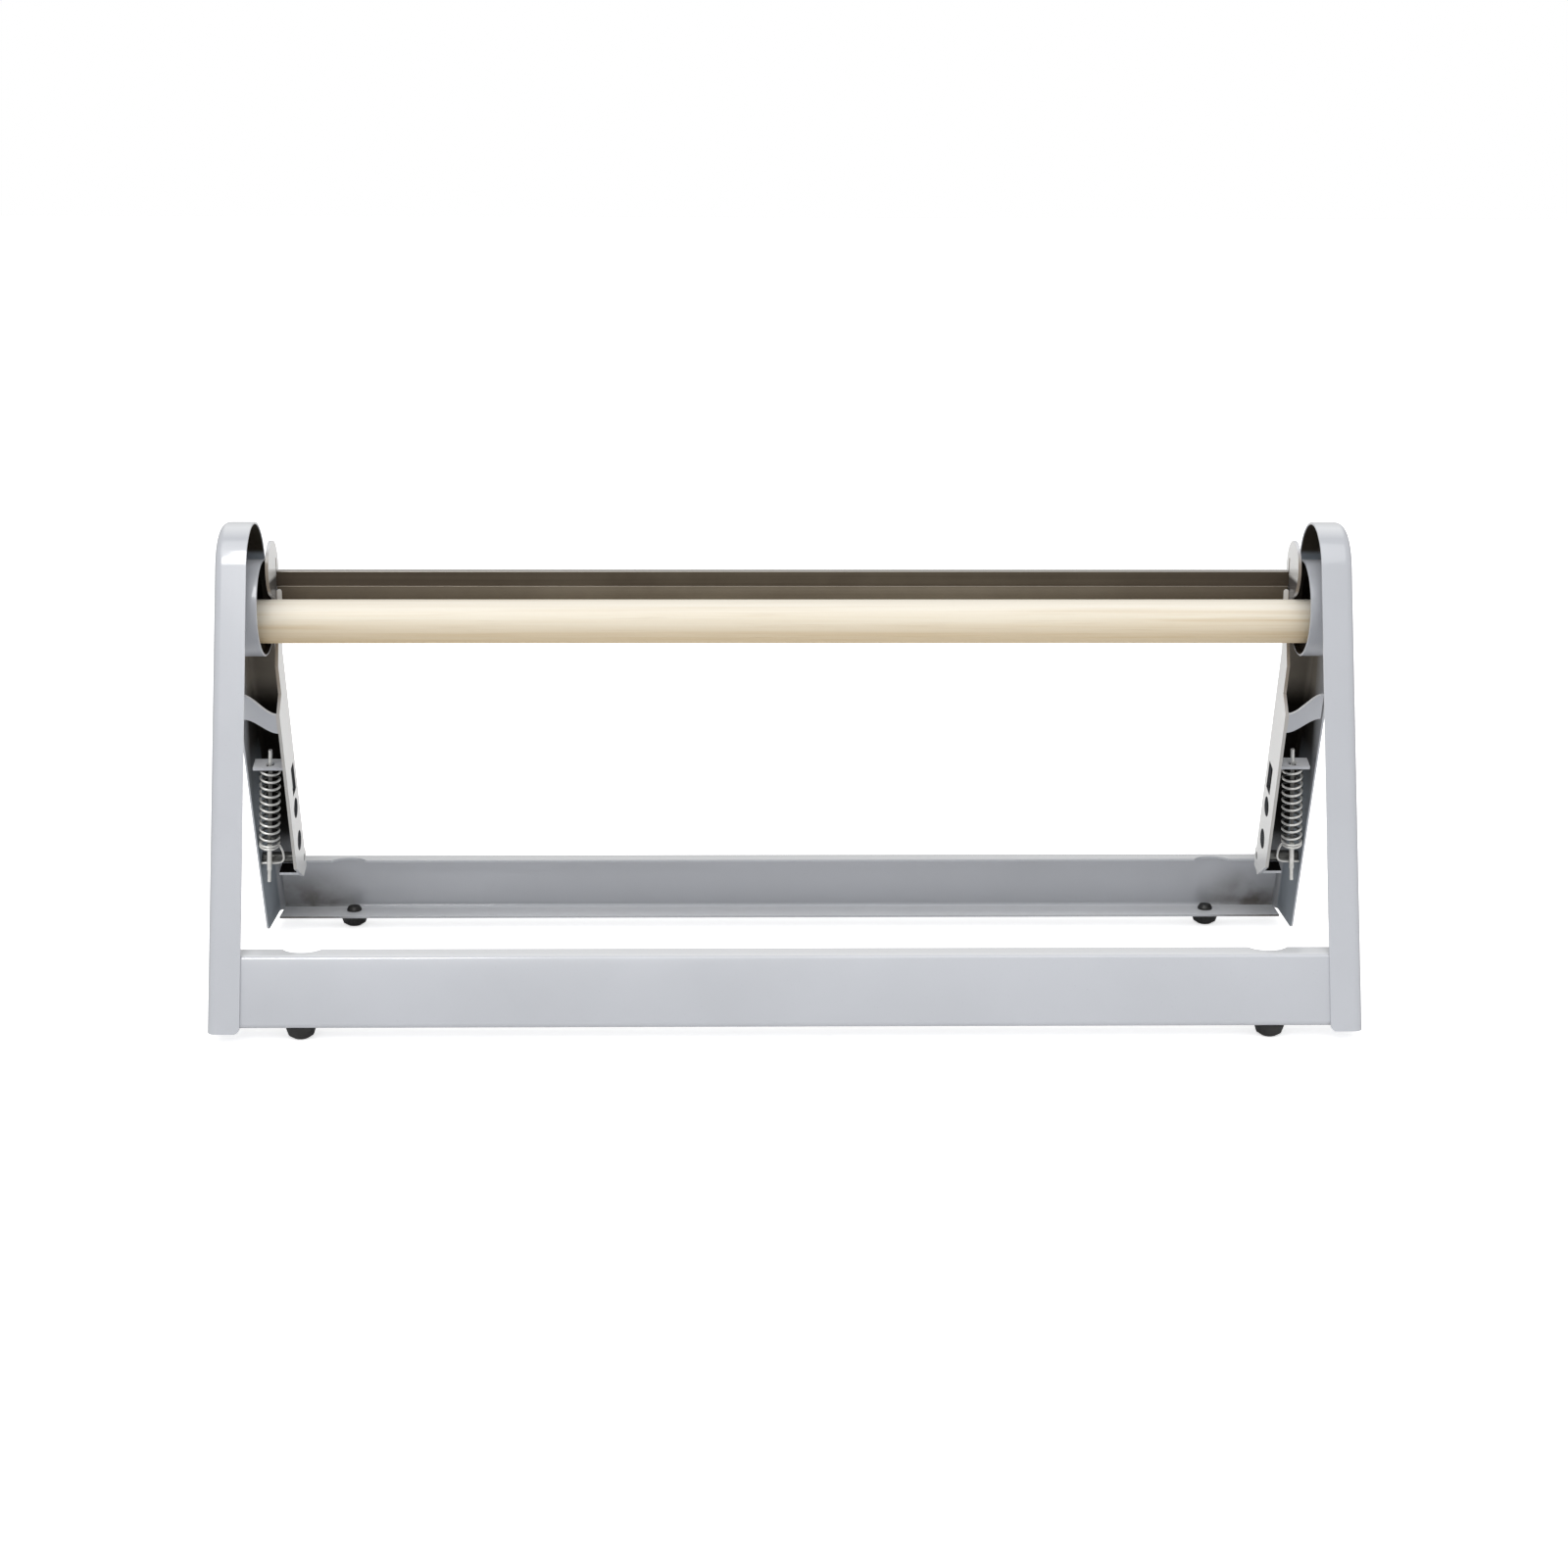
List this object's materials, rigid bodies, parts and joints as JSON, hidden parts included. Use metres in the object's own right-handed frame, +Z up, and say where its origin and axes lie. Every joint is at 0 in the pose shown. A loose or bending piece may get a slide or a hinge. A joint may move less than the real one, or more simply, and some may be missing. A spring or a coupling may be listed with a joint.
{
  "type": "paper cutter",
  "caption": "Counter-top roll paper cutter: sheet-steel A-frame sides, cross plates, a loose wooden roll dowel in cups and a sprung swinging blade bar behind it.",
  "frame": {"origin": "on the counter, under the middle of the frame", "axes": "+X along the dowel to the right, -Y to the front where the paper is pulled, +Z up"},
  "size_m": [0.673, 0.242, 0.2865],
  "materials": {
    "frame_paint": "smooth semi-gloss light grey enamel",
    "dowel_wood": "sanded pale hardwood, bare",
    "bar_steel": "dark rolled steel with bright edges",
    "blade_steel": "ground steel strip",
    "zinc_plate": "bright zinc plate",
    "foot_rubber": "black moulded rubber"
  },
  "bodies": {
    "frame": {"left_side_frame": "frame_paint", "right_side_frame": "frame_paint", "front_cross_plate": "frame_paint", "rear_cross_plate": "frame_paint", "left_roll_cup": "frame_paint", "right_roll_cup": "frame_paint", "left_pivot_pin": "zinc_plate", "right_pivot_pin": "zinc_plate", "left_pivot_spacer": "zinc_plate", "right_pivot_spacer": "zinc_plate", "front_left_foot": "foot_rubber", "front_right_foot": "foot_rubber", "rear_left_foot": "foot_rubber", "rear_right_foot": "foot_rubber"},
    "dowel": {"roll_dowel": "dowel_wood"},
    "blade_carriage": {"left_blade_arm": "frame_paint", "right_blade_arm": "frame_paint", "blade_bar": "bar_steel", "cutting_blade": "blade_steel"},
    "left_spring_unit": {"left_spring": "zinc_plate", "left_spring_rod": "zinc_plate"},
    "right_spring_unit": {"right_spring": "zinc_plate", "right_spring_rod": "zinc_plate"}
  },
  "joints": [
    {"name": "dowel_spin", "type": "hinge", "parent": "frame", "child": "dowel", "pos_m": [0, 0, 0.2263], "axis": [1, 0, 0], "continuous": true},
    {"name": "blade_swing", "type": "hinge", "parent": "frame", "child": "blade_carriage", "pos_m": [0, 0.06723, 0.05832], "axis": [-1, 0, 0], "range_deg": [0, 20], "stiffness_Nm_per_rad": 0.2, "springref_deg": -51.57},
    {"name": "left_spring_swing", "type": "hinge", "parent": "frame", "child": "left_spring_unit", "pos_m": [-0.33, 0.06171, 0.05606], "axis": [-1, 0, 0], "range_deg": [0, 20], "deforming": ["left_spring"]},
    {"name": "right_spring_swing", "type": "hinge", "parent": "frame", "child": "right_spring_unit", "pos_m": [0.33, 0.06171, 0.05606], "axis": [-1, 0, 0], "range_deg": [0, 20], "deforming": ["right_spring"]}
  ],
  "couplings": [
    {"joint": "left_spring_swing", "follows": "blade_swing", "ratio": 0.985},
    {"joint": "right_spring_swing", "follows": "blade_swing", "ratio": 0.985}
  ]
}
